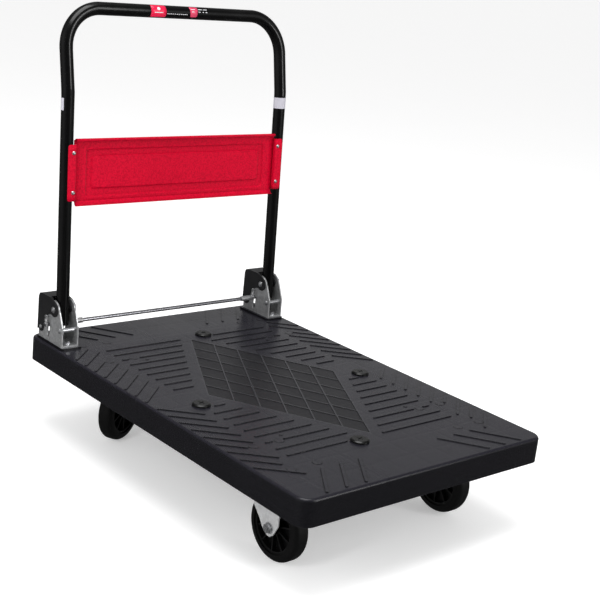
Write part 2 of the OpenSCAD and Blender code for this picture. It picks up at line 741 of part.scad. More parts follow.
module kingpins() color(dark_zinc) both_sides() translate([caster_x, swivel_y, 0]) {
    pin_z = crown_top - crown_t - gap;
    translate([0, 0, pin_z]) cylinder(d = kingpin_d, h = caster_h - pin_z);
    translate([0, 0, pin_z - 3.5]) cylinder(d = kingpin_d + 10, h = 3.5);
}

// A frame at a rear caster with X along its trail; both point inwards at rest
module swivel_frame(sx) {
    translate([sx * caster_x, swivel_y, 0])
        rotate([0, 0, sx < 0 ? swivel_turn : 180 - swivel_turn]) children();
}

module swivel_fork(sx) color(zinc) swivel_frame(sx) difference() {
    union() {
        translate([0, 0, crown_top - crown_t]) {
            cylinder(r = crown_r, h = crown_t);
            translate([-20, -leg_out, 0]) cube([trail + 42, 2 * leg_out, fork_t]);
        }
        fork_legs(trail, crown_top - crown_t + fork_t, -20);
    }
    translate([0, 0, crown_top - crown_t - 1]) cylinder(d = kingpin_d + 2 * run_fit, h = crown_t + 2);
    translate([0, 0, ball_z]) race_ring(race_groove);
}
module swivel_fork_left() swivel_fork(-1);
module swivel_fork_right() swivel_fork(1);

module bearing_balls(sx) color(dark_zinc) swivel_frame(sx) for (i = [0 : ball_count - 1])
    rotate([0, 0, i * 360 / ball_count]) translate([ball_ring_r, 0, ball_z]) sphere(r = ball_r);
module bearing_balls_left() bearing_balls(-1);
module bearing_balls_right() bearing_balls(1);

// Frames at the four wheels: origin at the wheel's middle, X along the axle
module front_wheel(sx) {
    translate([sx * caster_x, -rigid_y - rigid_offset, axle_z]) children();
}
module rear_wheel(sx) {
    swivel_frame(sx) translate([trail, 0, axle_z]) rotate([0, 0, 90]) children();
}

// dir is the side of the bolt's nut along X
module axle_bolt(dir) mirror([dir > 0 ? 0 : 1, 0, 0]) {
    rod_x(-leg_out, leg_out + washer_t + hex_height(axle_d) + 2, axle_d);
    translate([-leg_out - hex_height(axle_d), 0, 0]) rotate([0, 90, 0])
        hex_prism(axle_d, hex_height(axle_d));
}
module axle_nut(dir) mirror([dir > 0 ? 0 : 1, 0, 0]) difference() {
    translate([leg_out, 0, 0]) {
        rod_x(0, washer_t, axle_d * 2);
        translate([washer_t, 0, 0]) rotate([0, 90, 0]) hex_prism(axle_d, hex_height(axle_d) - 1);
        rod_x(washer_t, washer_t + hex_height(axle_d), hex_flats(axle_d) - 2);
    }
    rod_x(leg_out - 1, leg_out + 20, axle_d + 2 * seat_fit);
}
module axle_sleeve() difference() {
    rod_x(-leg_in, leg_in, sleeve_d);
    rod_x(-leg_in - 1, leg_in + 1, axle_d + 2 * seat_fit);
}

module front_axle_bolts() color(zinc) for (s = [-1, 1]) front_wheel(s) axle_bolt(s);
module front_axle_nuts() color(zinc) for (s = [-1, 1]) front_wheel(s) axle_nut(s);
module front_axle_sleeves() color(dark_zinc) for (s = [-1, 1]) front_wheel(s) axle_sleeve();
module rear_axle_bolt_left() color(zinc) rear_wheel(-1) axle_bolt(1);
module rear_axle_bolt_right() color(zinc) rear_wheel(1) axle_bolt(1);
module rear_axle_nut_left() color(zinc) rear_wheel(-1) axle_nut(1);
module rear_axle_nut_right() color(zinc) rear_wheel(1) axle_nut(1);
module rear_axle_sleeve_left() color(dark_zinc) rear_wheel(-1) axle_sleeve();
module rear_axle_sleeve_right() color(dark_zinc) rear_wheel(1) axle_sleeve();

module disc_x(r, w) {
    rotate([0, 90, 0]) cylinder(r = r, h = w, center = true);
}

rim_wall = 5;
rim_w = wheel_w - 6;
module wheel_core() color(black) difference() {
    union() {
        difference() {
            disc_x(rim_r, rim_w);
            disc_x(rim_r - rim_wall, rim_w + 2);
        }
        disc_x(rim_r - 1, web_t);
        disc_x(hub_r, hub_w);
        for (i = [0 : spoke_count - 1]) rotate([i * 360 / spoke_count, 0, 0])
            translate([-rim_w / 2 + 2, -1.25, hub_r - 2]) cube([rim_w - 4, 2.5, rim_r - rim_wall - hub_r + 3]);
    }
    disc_x(sleeve_d / 2 + run_fit, hub_w + 2);
}
module wheel_front_left() front_wheel(-1) wheel_core();
module wheel_front_right() front_wheel(1) wheel_core();
module wheel_rear_left() rear_wheel(-1) wheel_core();
module wheel_rear_right() rear_wheel(1) wheel_core();

// Tread section with round shoulders, radius along the first axis
module tyre_section() {
    side = wheel_w / 2;
    outer = wheel_d / 2;
    translate([rim_r - 1, -side]) square([tyre_t + 1 - shoulder_r, 2 * side]);
    translate([rim_r - 1, -side + shoulder_r]) square([tyre_t + 1, 2 * (side - shoulder_r)]);
    for (s = [-1, 1]) translate([outer - shoulder_r, s * (side - shoulder_r)]) circle(r = shoulder_r);
}
module tyre() color(black) difference() {
    rotate([0, 90, 0]) rotate_extrude() tyre_section();
    disc_x(rim_r + seat_fit, wheel_w + 2);
}
module tyre_front_left() front_wheel(-1) tyre();
module tyre_front_right() front_wheel(1) tyre();
module tyre_rear_left() rear_wheel(-1) tyre();
module tyre_rear_right() rear_wheel(1) tyre();

deck();
deck_plugs();
caster_bolts();
hinge_bracket_left();
hinge_bracket_right();
bracket_cover_left();
bracket_cover_right();
cover_rivets();
bracket_bolts();
spacer_pins();
pivot_pins();
spring_anchors();
release_rod();
rod_sleeves();
rod_clips();
return_springs();
handle_tube();
pivot_bushes();
back_panel();
panel_screws();
grip_label();
post_tapes();
rigid_frame_left();
rigid_frame_right();
front_axle_bolts();
front_axle_nuts();
front_axle_sleeves();
swivel_plates();
kingpins();
swivel_fork_left();
swivel_fork_right();
bearing_balls_left();
bearing_balls_right();
rear_axle_bolt_left();
rear_axle_bolt_right();
rear_axle_nut_left();
rear_axle_nut_right();
rear_axle_sleeve_left();
rear_axle_sleeve_right();
wheel_front_left();
wheel_front_right();
wheel_rear_left();
wheel_rear_right();
tyre_front_left();
tyre_front_right();
tyre_rear_left();
tyre_rear_right();
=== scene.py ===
import math

import bpy
from mathutils import Matrix, Vector


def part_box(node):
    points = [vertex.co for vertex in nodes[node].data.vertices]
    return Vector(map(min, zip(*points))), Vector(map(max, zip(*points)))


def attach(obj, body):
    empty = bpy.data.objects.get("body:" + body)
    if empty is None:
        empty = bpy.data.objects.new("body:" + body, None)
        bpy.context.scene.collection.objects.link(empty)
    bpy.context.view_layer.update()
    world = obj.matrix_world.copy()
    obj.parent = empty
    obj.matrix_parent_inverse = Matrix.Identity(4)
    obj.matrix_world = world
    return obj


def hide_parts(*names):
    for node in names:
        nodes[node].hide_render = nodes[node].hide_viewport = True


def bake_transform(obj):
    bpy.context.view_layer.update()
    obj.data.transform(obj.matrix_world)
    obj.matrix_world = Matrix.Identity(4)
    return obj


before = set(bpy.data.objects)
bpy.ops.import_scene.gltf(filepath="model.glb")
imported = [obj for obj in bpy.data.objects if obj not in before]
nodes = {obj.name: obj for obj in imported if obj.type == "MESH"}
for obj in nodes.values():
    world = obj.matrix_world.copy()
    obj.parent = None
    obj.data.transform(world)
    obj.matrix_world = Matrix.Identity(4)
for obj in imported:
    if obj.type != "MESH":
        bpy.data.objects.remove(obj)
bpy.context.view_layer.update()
scene = bpy.context.scene

# ---------------------------------------------------------------- camera

# the camera's right, up and viewing directions, in the frame of the cart
CAM_RIGHT = Vector((0.7593, -0.6424, 0.1042))
CAM_UP = Vector((0.1051, 0.2791, 0.9545))
CAM_AHEAD = Vector((0.6422, 0.7138, -0.2794))
CAM_PLACE = (-1.5493, -1.7740, 1.0598)
LENS_MM, SENSOR_MM = 75.13, 36.0
cam = bpy.data.objects.new("camera", bpy.data.cameras.new("camera"))
cam.data.lens, cam.data.sensor_width = LENS_MM, SENSOR_MM
rot = Matrix((CAM_RIGHT, CAM_UP, -CAM_AHEAD)).transposed()
cam.matrix_world = Matrix.Translation(CAM_PLACE) @ rot.to_4x4()
scene.collection.objects.link(cam)
scene.camera = cam

# ---------------------------------------------------------------- node helpers


class Mat:
    """A Principled material and short calls that add nodes to it."""

    def __init__(self, name, **sockets):
        self.mat = bpy.data.materials.new(name)
        self.mat.use_nodes = True
        self.tree = self.mat.node_tree
        self.bsdf = self.tree.nodes["Principled BSDF"]
        for key, value in sockets.items():
            self.bsdf.inputs[key.replace("_", " ")].default_value = value
        self.coords = self.node("ShaderNodeTexCoord").outputs["Object"]

    def node(self, kind, **props):
        n = self.tree.nodes.new(kind)
        for key, value in props.items():
            setattr(n, key, value)
        return n

    def put(self, socket, value):
        if isinstance(value, bpy.types.NodeSocket):
            self.tree.links.new(value, socket)
        elif value is not None:
            socket.default_value = value

    def stretch(self, x, y, z, turn=(0, 0, 0)):
        m = self.node("ShaderNodeMapping")
        self.put(m.inputs["Vector"], self.coords)
        m.inputs["Scale"].default_value = (x, y, z)
        m.inputs["Rotation"].default_value = turn
        return m.outputs[0]

    def noise(self, scale, detail=3.0, rough=0.5, at=None, distortion=0.0):
        n = self.node("ShaderNodeTexNoise")
        self.put(n.inputs["Vector"], at or self.coords)
        settings = {"Scale": scale, "Detail": detail, "Roughness": rough, "Distortion": distortion}
        for key, value in settings.items():
            n.inputs[key].default_value = value
        return n.outputs[0]

    def cells(self, scale, at=None, feature="F1", out=0):
        n = self.node("ShaderNodeTexVoronoi", feature=feature)
        self.put(n.inputs["Vector"], at or self.coords)
        n.inputs["Scale"].default_value = scale
        return n.outputs[out]

    def math(self, op, a, b=None, c=None, clamp=False):
        n = self.node("ShaderNodeMath", operation=op, use_clamp=clamp)
        for i, value in enumerate((a, b, c)):
            self.put(n.inputs[i], value)
        return n.outputs[0]

    def fit(self, value, a, b, lo=0.0, hi=1.0, smooth=False):
        n = self.node("ShaderNodeMapRange", interpolation_type="SMOOTHSTEP" if smooth else "LINEAR")
        for i, v in enumerate((value, a, b, lo, hi)):
            self.put(n.inputs[i], v)
        return n.outputs[0]

    def mix(self, fac, a, b):
        n = self.node("ShaderNodeMix", data_type="RGBA")
        for i, v in ((0, fac), (6, a), (7, b)):
            self.put(n.inputs[i], v)
        return n.outputs[2]

    def xyz(self):
        return self.node_xyz(self.coords)

    def edges(self, radius, gain=6.0):
        """About 1 along convex and concave edges, 0 on open faces."""
        bev = self.node("ShaderNodeBevel", samples=4)
        bev.inputs["Radius"].default_value = radius
        geo = self.node("ShaderNodeNewGeometry")
        dot = self.node("ShaderNodeVectorMath", operation="DOT_PRODUCT")
        self.put(dot.inputs[0], bev.outputs[0])
        self.put(dot.inputs[1], geo.outputs["Normal"])
        return self.math("MULTIPLY", self.math("SUBTRACT", 1.0, dot.outputs["Value"]), gain, clamp=True)

    def facing_up(self):
        """1 on faces that look up, 0 on upright ones."""
        return self.node_xyz(self.node("ShaderNodeNewGeometry").outputs["Normal"])[2]

    def node_xyz(self, vector):
        n = self.node("ShaderNodeSeparateXYZ")
        self.put(n.inputs[0], vector)
        return n.outputs

    def crease_shade(self, distance, lo=0.45, hi=0.95):
        """About 1 deep in inner corners, 0 on open faces; the mask that paints shade into them."""
        ao = self.node("ShaderNodeAmbientOcclusion", samples=4, only_local=True)
        ao.inputs["Distance"].default_value = distance
        return self.fit(ao.outputs["AO"], lo, hi, 1.0, 0.0)

    def bump(self, *layers, rounding=None):
        """layers are (height, strength, distance); rounding softens edges by that radius."""
        normal = None
        if rounding:
            bev = self.node("ShaderNodeBevel", samples=4)
            bev.inputs["Radius"].default_value = rounding
            normal = bev.outputs[0]
        for height, strength, distance in layers:
            b = self.node("ShaderNodeBump")
            self.put(b.inputs["Height"], height)
            b.inputs["Strength"].default_value = strength
            b.inputs["Distance"].default_value = distance
            self.put(b.inputs["Normal"], normal)
            normal = b.outputs[0]
        self.put(self.bsdf.inputs["Normal"], normal)

    def set(self, **sockets):
        for key, value in sockets.items():
            self.put(self.bsdf.inputs[key.replace("_", " ")], value)
        return self.mat


def rgb(r, g, b):
    return (r, g, b, 1.0)


# ---------------------------------------------------------------- materials

DECK_HALF_X, DECK_HALF_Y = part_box("deck")[1][0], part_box("deck")[1][1]
# half diagonals of the lozenge field, and the heights that tell its sunk cells from its lands
LOZENGE_X, LOZENGE_Y = 0.162, 0.285
CELL_FLOOR, CELL_LOW, CELL_HIGH, LAND_LOW = 0.1960, 0.1972, 0.1978, 0.19795
# round marks over the caster bosses: the middle of each group of four, half their spacing, their radius
MARK_X, MARK_Y = 0.207, 0.287
MARK_DX, MARK_DY = 0.029, 0.0515
MARK_R, MARK_REACH = 0.009, 0.0115
RIB_HALF_PITCH, SINK_HALF = 0.03, 0.006


def deck_plastic():
    m = Mat("deck_plastic", IOR=1.49, Specular_IOR_Level=0.30)
    x, y, z = m.xyz()[:3]
    blotch = m.noise(5.0, 4.0, 0.6)
    flow = m.noise(9.0, 3.0, 0.6, at=m.stretch(1.0, 0.16, 1.0, (0, 0, 0.5)), distortion=0.6)
    grain = m.noise(1500.0, 2.0, 0.6)
    fleck = m.noise(480.0, 3.0, 0.7)
    coarse = m.noise(260.0, 3.0, 0.6)
    # the lozenge's sunk cells
    ax, ay = m.math("ABSOLUTE", x), m.math("ABSOLUTE", y)
    inside = m.math("ADD", m.math("DIVIDE", ax, LOZENGE_X), m.math("DIVIDE", ay, LOZENGE_Y))
    inside = m.math("LESS_THAN", inside, 1.01)
    sunk = m.math("MULTIPLY", m.fit(z, CELL_LOW, CELL_HIGH, 1.0, 0.0), m.math("GREATER_THAN", z, CELL_FLOOR))
    cell = m.math("MULTIPLY", inside, sunk)
    land_highlight = m.math("MULTIPLY", inside, m.math("GREATER_THAN", z, LAND_LOW))
    # rings round the marks over the caster bosses
    u = m.math("SUBTRACT", m.math("ABSOLUTE", m.math("SUBTRACT", ax, MARK_X)), MARK_DX)
    v = m.math("SUBTRACT", m.math("ABSOLUTE", m.math("SUBTRACT", ay, MARK_Y)), MARK_DY)
    r = m.math("SQRT", m.math("ADD", m.math("MULTIPLY", u, u), m.math("MULTIPLY", v, v)))
    off_ring = m.math("ABSOLUTE", m.math("SUBTRACT", r, MARK_R))
    ring = m.fit(off_ring, 0.0004, 0.0013, 1.0, 0.0, smooth=True)
    ring = m.math("MULTIPLY", ring, m.math("LESS_THAN", r, MARK_REACH))
    # faint sink lines over the ribs below
    fx = m.math("PINGPONG", m.math("ADD", x, DECK_HALF_X), RIB_HALF_PITCH)
    fy = m.math("PINGPONG", m.math("ADD", y, DECK_HALF_Y), RIB_HALF_PITCH)
    sink = m.math("MINIMUM", m.fit(fx, 0.0, SINK_HALF, smooth=True), m.fit(fy, 0.0, SINK_HALF, smooth=True))
    # a wandering knit line where two flows of plastic met
    wander = m.math("SUBTRACT", m.noise(6.5, 2.0, 0.5, distortion=0.8), 0.5)
    meet = m.fit(m.math("ABSOLUTE", wander), 0.0, 0.006, 1.0, 0.0)
    edge_wear_and_glint = m.math("MULTIPLY", m.edges(0.0022, 5.0), m.fit(coarse, 0.35, 0.65))
    strands = m.cells(26.0, at=m.stretch(1.0, 7.0, 1.0, (0, 0, 0.9)), feature="DISTANCE_TO_EDGE")
    scratch = m.fit(strands, 0.0, 0.012, 1.0, 0.0)
    scratch = m.math("MULTIPLY", scratch, m.fit(m.noise(14.0, 2.0), 0.55, 0.7))
    base = m.mix(m.fit(blotch, 0.3, 0.7), rgb(0.0082, 0.0078, 0.0112), rgb(0.0116, 0.0111, 0.0152))
    base = m.mix(m.fit(fleck, 0.35, 0.75), base, rgb(0.0200, 0.0192, 0.0260))
    # painted shade: the skirt and other upright faces are painted darker than the top
    flank_shade = m.fit(m.facing_up(), 0.3, 0.8, 1.0, 0.0)
    base = m.mix(m.math("MULTIPLY", flank_shade, 0.75), base, rgb(0.0012, 0.0012, 0.0015))
    # painted highlight: the raised lands of the lozenge are painted lighter
    base = m.mix(m.math("MULTIPLY", land_highlight, 0.6), base, rgb(0.0300, 0.0296, 0.0345))
    # painted shade: the sunk cells of the lozenge are painted darker
    base = m.mix(m.math("MULTIPLY", cell, 0.75), base, rgb(0.0038, 0.0037, 0.0048))
    # edges painted lighter in patches: partly real wear, partly a painted highlight along the edges
    base = m.mix(m.math("MULTIPLY", edge_wear_and_glint, 0.4), base, rgb(0.055, 0.055, 0.06))
    base = m.mix(m.math("MULTIPLY", scratch, 0.3), base, rgb(0.06, 0.06, 0.066))
    # painted shade: inner corners, such as the feet of the bars, are painted near black
    base = m.mix(m.math("MULTIPLY", m.crease_shade(0.004, 0.5, 0.97), 0.95), base, rgb(0.0012, 0.0012, 0.0015))
    base = m.mix(m.math("MULTIPLY", meet, 0.35), base, rgb(0.003, 0.003, 0.004))
    base = m.mix(m.math("MULTIPLY", ring, 0.75), base, rgb(0.002, 0.002, 0.0025))
    rough = m.fit(flow, 0.25, 0.75, 0.15, 0.27)
    rough = m.math("ADD", rough, m.math("MULTIPLY", cell, 0.16))
    rough = m.math("ADD", rough, m.math("MULTIPLY", m.fit(grain, 0.3, 0.7), 0.05))
    m.bump((grain, 0.25, 0.0004), (fleck, 0.20, 0.0006), (coarse, 0.16, 0.0008), (flow, 0.12, 0.004),
           (sink, 0.16, 0.0006), (ring, 0.4, 0.0006), rounding=0.0009)
    return m.set(Base_Color=base, Roughness=rough)


def black_plastic(name, base_lo, base_hi, rough_lo, rough_hi, rounding):
    m = Mat(name, IOR=1.49, Specular_IOR_Level=0.35)
    grain = m.noise(1200.0, 2.0, 0.6)
    soft = m.noise(40.0, 4.0, 0.6)
    edge_wear_and_glint = m.math("MULTIPLY", m.edges(0.0015, 4.0), m.fit(soft, 0.35, 0.6))
    base = m.mix(m.fit(soft, 0.3, 0.7), base_lo, base_hi)
    # edges painted lighter in patches: partly real wear, partly a painted highlight along the edges
    base = m.mix(m.math("MULTIPLY", edge_wear_and_glint, 0.5), base, rgb(0.045, 0.045, 0.048))
    m.bump((grain, 0.2, 0.0003), (soft, 0.05, 0.001), rounding=rounding)
    return m.set(Base_Color=base, Roughness=m.fit(soft, 0.3, 0.7, rough_lo, rough_hi))


def tube_paint():
    m = Mat("tube_paint", IOR=1.5, Specular_IOR_Level=0.32)
    peel = m.noise(420.0, 2.0, 0.5)
    broad = m.noise(11.0, 4.0, 0.6)
    strands = m.cells(60.0, at=m.stretch(1.0, 1.0, 9.0, (0.3, 0.2, 0)), feature="DISTANCE_TO_EDGE")
    hair = m.fit(strands, 0.0, 0.02, 1.0, 0.0)
    hair = m.math("MULTIPLY", hair, m.fit(broad, 0.5, 0.7))
    base = m.mix(m.fit(broad, 0.3, 0.7), rgb(0.0010, 0.0010, 0.0011), rgb(0.0018, 0.0018, 0.0019))
    base = m.mix(m.math("MULTIPLY", hair, 0.3), base, rgb(0.03, 0.03, 0.03))
    rough = m.math("ADD", m.fit(broad, 0.3, 0.7, 0.13, 0.22), m.math("MULTIPLY", hair, 0.2))
    m.bump((peel, 0.10, 0.0003), (broad, 0.05, 0.001))
    return m.set(Base_Color=base, Roughness=rough)


def panel_paint():
    m = Mat("panel_paint", IOR=1.45, Specular_IOR_Level=0.05)
    wrinkle = m.cells(260.0, feature="SMOOTH_F1")
    speck = m.noise(270.0, 3.0, 0.75)
    broad = m.noise(7.0, 4.0, 0.6)
    edge_wear_and_glint = m.math("MULTIPLY", m.edges(0.001, 4.0), m.fit(m.noise(90.0), 0.5, 0.68))
    fold_shade = m.crease_shade(0.006, 0.45, 0.9)
    base = m.mix(m.fit(broad, 0.3, 0.7), rgb(0.52, 0.0020, 0.021), rgb(0.58, 0.0028, 0.025))
    base = m.mix(m.math("MULTIPLY", m.fit(speck, 0.45, 0.58), 0.75), base, rgb(0.33, 0.0008, 0.014))
    base = m.mix(m.math("MULTIPLY", m.fit(wrinkle, 0.2, 0.75), 0.3), base, rgb(0.60, 0.0052, 0.032))
    # painted shade: the creases under the lips and at the pressed steps are painted dark
    base = m.mix(m.math("MULTIPLY", fold_shade, 0.9), base, rgb(0.11, 0.0006, 0.005))
    # edges painted paler in patches: partly real paint wear, partly a painted highlight along the edges
    base = m.mix(m.math("MULTIPLY", edge_wear_and_glint, 0.35), base, rgb(0.25, 0.12, 0.12))
    rough = m.fit(speck, 0.3, 0.7, 0.3, 0.46)
    m.bump((wrinkle, 0.55, 0.0005), (speck, 0.2, 0.0004), (broad, 0.04, 0.002))
    return m.set(Base_Color=base, Roughness=rough)


def metal(name, lo, hi, rough_lo, rough_hi, metallic=0.7, grain_scale=60.0, brush=(1, 1, 1),
          rounding=0.0006, stain=0.3):
    m = Mat(name, Metallic=metallic)
    spangle = m.cells(grain_scale * 2.2, feature="F1", out=1)
    tone = m.node("ShaderNodeSeparateColor")
    m.put(tone.inputs[0], spangle)
    streak = m.noise(grain_scale * 9, 3.0, 0.6, at=m.stretch(*brush))
    broad = m.noise(35.0, 4.0, 0.65)
    edge_highlight = m.edges(0.0016, 5.0)
    base = m.mix(m.math("MULTIPLY", tone.outputs[0], 0.6), lo, hi)
    base = m.mix(m.math("MULTIPLY", m.fit(broad, 0.5, 0.75), stain), base, rgb(0.42, 0.42, 0.43))
    # painted highlight: the edges are painted near white
    base = m.mix(m.math("MULTIPLY", edge_highlight, 0.7), base, rgb(0.92, 0.92, 0.93))
    rough = m.fit(streak, 0.3, 0.7, rough_lo, rough_hi)
    rough = m.math("ADD", rough, m.math("MULTIPLY", tone.outputs[1], 0.06))
    m.bump((streak, 0.08, 0.0002), (broad, 0.05, 0.0006), rounding=rounding)
    return m.set(Base_Color=base, Roughness=rough)


def tyre_rubber():
    m = Mat("tyre_rubber", IOR=1.5, Specular_IOR_Level=0.3)
    grain = m.noise(1400.0, 2.0, 0.7)
    scuff = m.noise(60.0, 5.0, 0.7)
    dust = m.fit(scuff, 0.5, 0.75)
    base = m.mix(m.math("MULTIPLY", dust, 0.5), rgb(0.0016, 0.0016, 0.0018), rgb(0.0056, 0.0055, 0.0053))
    m.bump((grain, 0.25, 0.0004), (scuff, 0.1, 0.0008), rounding=0.0008)
    return m.set(Base_Color=base, Roughness=m.fit(scuff, 0.3, 0.7, 0.5, 0.68))


def film(name, base_a, base_b, rough):
    m = Mat(name, IOR=1.46)
    crease = m.noise(70.0, 3.0, 0.6, at=m.stretch(0.4, 1, 1))
    fleck = m.noise(700.0, 2.0, 0.6)
    base = m.mix(m.fit(fleck, 0.35, 0.75), base_a, base_b)
    m.bump((crease, 0.12, 0.0005), (fleck, 0.05, 0.0002))
    return m.set(Base_Color=base, Roughness=m.fit(crease, 0.3, 0.7, rough, rough + 0.14))


deck_mat = deck_plastic()
plug_mat = black_plastic("plug_plastic", rgb(0.0022, 0.0023, 0.0022), rgb(0.0045, 0.0046, 0.0045),
                         0.22, 0.36, 0.0008)
cover_mat = black_plastic("cover_plastic", rgb(0.0055, 0.0055, 0.006), rgb(0.0095, 0.0095, 0.0105),
                          0.34, 0.5, 0.0012)
core_mat = black_plastic("wheel_plastic", rgb(0.0014, 0.0014, 0.0015), rgb(0.0028, 0.0028, 0.003),
                         0.4, 0.55, 0.0008)
bush_mat = black_plastic("bush_plastic", rgb(0.006, 0.006, 0.0065), rgb(0.010, 0.010, 0.011),
                         0.35, 0.5, 0.0005)
tube_mat = tube_paint()
panel_mat = panel_paint()
zinc_mat = metal("zinc", rgb(0.50, 0.51, 0.525), rgb(0.72, 0.73, 0.745), 0.20, 0.36, metallic=0.95)
fork_mat = metal("fork_zinc", rgb(0.58, 0.585, 0.59), rgb(0.74, 0.745, 0.75),
                 0.30, 0.46, metallic=0.45, grain_scale=90.0)
plate_mat = metal("zinc_sheet", rgb(0.34, 0.345, 0.35), rgb(0.56, 0.565, 0.57),
                  0.22, 0.42, metallic=0.72, grain_scale=90.0)
rod_mat = metal("drawn_steel", rgb(0.30, 0.30, 0.32), rgb(0.42, 0.42, 0.45),
                0.16, 0.28, metallic=1.0, brush=(0.08, 1, 1), stain=0.15)
dark_mat = metal("plain_steel", rgb(0.36, 0.365, 0.37), rgb(0.5, 0.5, 0.51), 0.25, 0.4, brush=(0.1, 1, 1))
spring_mat = metal("spring_steel", rgb(0.5, 0.5, 0.51), rgb(0.66, 0.66, 0.67), 0.2, 0.32, rounding=None)
rubber_mat = tyre_rubber()
tape_mat = film("tape_film", rgb(0.43, 0.42, 0.47), rgb(0.47, 0.46, 0.51), 0.34)
label_red = film("label_red", rgb(0.66, 0.006, 0.05), rgb(0.72, 0.010, 0.06), 0.22)
label_pink = film("label_pink", rgb(0.55, 0.03, 0.09), rgb(0.62, 0.05, 0.11), 0.24)
label_white = film("label_white", rgb(0.62, 0.62, 0.64), rgb(0.7, 0.7, 0.72), 0.26)


def paint(obj, mat):
    obj.data.materials.clear()
    obj.data.materials.append(mat)


# the finish of each CAD node, by the start of its name; what isn't listed is bright zinc
FINISHES = [("deck_plugs", plug_mat), ("deck", deck_mat), ("bracket_cover", cover_mat), ("wheel_", core_mat),
            ("tyre_", rubber_mat), ("handle_tube", tube_mat), ("back_panel", panel_mat),
            ("grip_label", label_red), ("post_tapes", tape_mat), ("pivot_bushes", bush_mat),
            ("hinge_bracket", plate_mat), ("rigid_frame", fork_mat), ("swivel_", fork_mat),
            ("release_rod", rod_mat), ("rod_", dark_mat), ("kingpins", dark_mat), ("bearing_balls", dark_mat),
            ("front_axle_sleeves", dark_mat), ("rear_axle_sleeve", dark_mat), ("return_springs", spring_mat)]


def node_material(name):
    return next((mat for start, mat in FINISHES if name.startswith(start)), zinc_mat)


for name, obj in nodes.items():
    paint(obj, node_material(name))

# ---------------------------------------------------------------- mesh helpers


def new_piece(name, verts, faces, mat):
    mesh = bpy.data.meshes.new(name)
    mesh.from_pydata([tuple(v) for v in verts], [], faces)
    mesh.update()
    obj = bpy.data.objects.new(name, mesh)
    scene.collection.objects.link(obj)
    mesh.shade_smooth()
    paint(obj, mat)
    return obj


def grid_faces(rows, cols, wrap_cols=False):
    faces = []
    for i in range(rows - 1):
        for j in range(cols if wrap_cols else cols - 1):
            a, b = i * cols + j, i * cols + (j + 1) % cols
            c, d = (i + 1) * cols + (j + 1) % cols, (i + 1) * cols + j
            faces.append((a, b, c, d))
    return faces


def span(a, b, n):
    return [a + (b - a) * i / (n - 1) for i in range(n)]


# ---------------------------------------------------------------- frames of the handle

MM = 0.001
PIVOT = Vector((0.0, 0.368, 0.274))
# lean of the posts below the bend, and how much more they lean above it, in degrees
LEAN, BACK_BEND = 3.0, 7.6
# heights from the pivot to the bend, and from the bend to the grip bar's axis, in mm
BEND_RISE, GRIP_RISE = 440.0, 162.0
LOWER = Matrix.Translation(PIVOT) @ Matrix.Rotation(math.radians(-LEAN), 4, "X")
BEND = BEND_RISE / math.cos(math.radians(LEAN))
UPPER = LOWER @ Matrix.Translation((0, 0, BEND * MM)) @ Matrix.Rotation(math.radians(-BACK_BEND), 4, "X")
GRIP_UP = GRIP_RISE / math.cos(math.radians(LEAN + BACK_BEND))
TUBE_R = 13.2


def smooth(t):
    t = min(max(t, 0.0), 1.0)
    return t * t * (3 - 2 * t)


def stops(lo, hi, marks, coarse, fine, reach):
    """Positions from lo to hi, close together near the marks."""
    found = set(span(lo, hi, max(2, int((hi - lo) / coarse))))
    for m in marks:
        found |= {m + d for d in span(-reach, reach, int(2 * reach / fine) + 1)}
    found = sorted(v for v in found if lo <= v <= hi)
    return [v for i, v in enumerate(found) if i == 0 or v - found[i - 1] > fine * 0.3]


def sweep(name, path, radius, segments, mat):
    """A round wire along the points of path, with closed ends."""
    path = [Vector(p) for p in path]
    verts, side = [], None
    for i, p in enumerate(path):
        t = (path[min(i + 1, len(path) - 1)] - path[max(i - 1, 0)]).normalized()
        if side is None:
            side = t.orthogonal().normalized()
        side = (side - t * side.dot(t)).normalized()
        up = t.cross(side)
        for k in range(segments):
            a = 2 * math.pi * k / segments
            verts.append(p + (side * math.cos(a) + up * math.sin(a)) * radius)
    faces = grid_faces(len(path), segments, wrap_cols=True)
    faces.append(tuple(range(segments))[::-1])
    faces.append(tuple(range(len(verts) - segments, len(verts))))
    return new_piece(name, verts, faces, mat)


def add_modifier(obj, kind, **props):
    mod = obj.modifiers.new(kind.lower(), kind)
    for key, value in props.items():
        setattr(mod, key, value)
    return mod


# ---------------------------------------------------------------- pressed back panel

# in mm, in the frame of the posts below the bend: x across, y back, z up from the pivot
PANEL_BASE, PANEL_H, PANEL_HALF = 214.0, 136.0, 257.4
SHEET = 1.4
SHEET_Y = -4.0 - SHEET / 2
LIP_Y = -13.0
FOLD = 2.6
HEM, HEM_R = 4.6, 1.2
FLARE_Y, FLARE_H = SHEET_Y - 0.1, 8.0
# the two pressed rectangles: left, right, low, high
OUTER = (-228.0, 228.0, 18.0, 113.5)
INNER = (-214.5, 214.5, 34.0, 100.0)
OUTER_CORNER, INNER_CORNER = 6.0, 5.0
PRESS = 3.0
# width of the pressed steps, how much of the press the inner one gives back, and the crown within it
OUTER_STEP, INNER_STEP, RETURN = 3.4, 3.6, 0.92
CROWN, CROWN_REACH = 0.5, 60.0
EDGE_PULL = 0.010
EAR_EDGE, EAR_CORNER, EAR_FOLD, EAR_INSET = 275.0, 5, 2.2, 11


def rect_distance(x, z, rect, r):
    """Distance from x, z to a rectangle with corners of radius r, below 0 inside."""
    cx, cz = (rect[0] + rect[1]) / 2, (rect[2] + rect[3]) / 2
    qx = abs(x - cx) - (rect[1] - rect[0]) / 2 + r
    qz = abs(z - cz) - (rect[3] - rect[2]) / 2 + r
    return math.hypot(max(qx, 0), max(qz, 0)) + min(max(qx, qz), 0) - r


